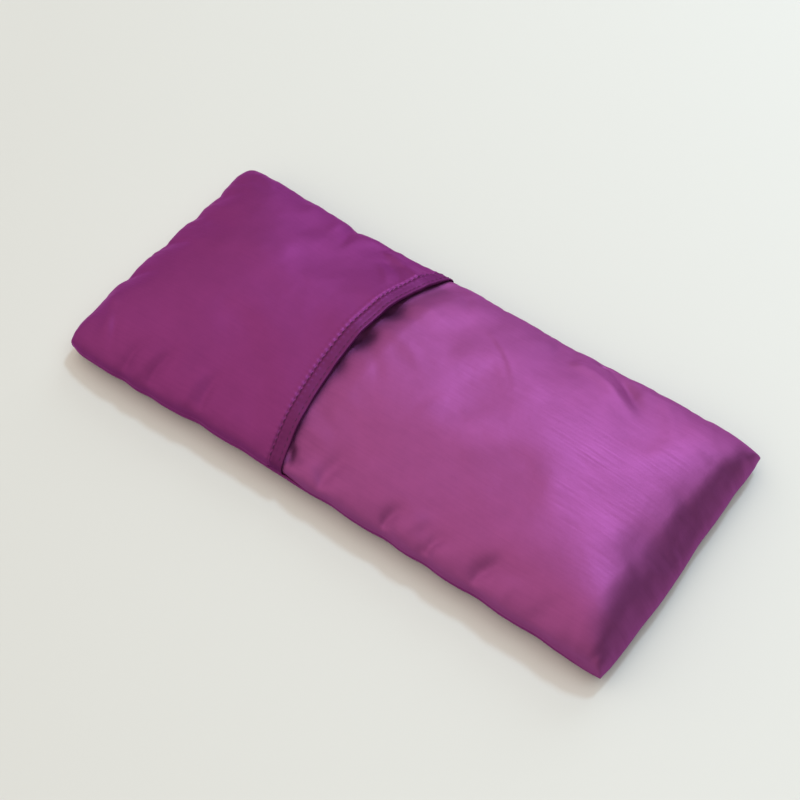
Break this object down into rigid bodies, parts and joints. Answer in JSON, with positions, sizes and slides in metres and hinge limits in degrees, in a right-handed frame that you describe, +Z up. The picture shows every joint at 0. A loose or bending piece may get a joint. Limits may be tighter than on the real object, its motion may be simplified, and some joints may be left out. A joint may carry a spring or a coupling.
{
  "type": "eye pillow",
  "caption": "Seed-filled cotton insert inside a satin envelope cover whose stitched flap laps over the front panel.",
  "frame": {"origin": "middle of the flat face that the pillow rests on", "axes": "+X along the length, from the flap's end to the tucked front panel's end; +Y across the width; +Z up"},
  "size_m": [0.226, 0.102, 0.0243],
  "materials": {
    "satin": "satin",
    "satin_thread": "satin",
    "cotton": "matte",
    "cotton_thread": "matte",
    "flax_seed": "satin",
    "lavender": "matte"
  },
  "bodies": {
    "cover": {"back_panel": "satin", "front_panel": "satin", "front_hem": "satin", "front_hem_stitches": "satin_thread", "cover_seam_allowance": "satin", "side_seam_stitches": "satin_thread", "end_seam_stitches": "satin_thread"},
    "flap": {"flap_panel": "satin", "flap_hem": "satin", "flap_hem_fold_stitches": "satin_thread", "flap_hem_edge_stitches": "satin_thread"},
    "insert": {"insert_top_panel": "cotton", "insert_bottom_panel": "cotton", "insert_seam_stitches": "cotton_thread", "insert_closing_stitches": "cotton_thread", "flax_seed_fill": "flax_seed", "lavender_buds": "lavender"}
  },
  "joints": [
    {"name": "flap_lift", "type": "hinge", "parent": "cover", "child": "flap", "pos_m": [-0.113, 0, 0.00715], "axis": [0, -1, 0], "range_deg": [0, 6]},
    {"name": "insert_shift", "type": "slide", "parent": "cover", "child": "insert", "axis": [1, 0, 0], "range_m": [-0.002, 0.002]}
  ]
}
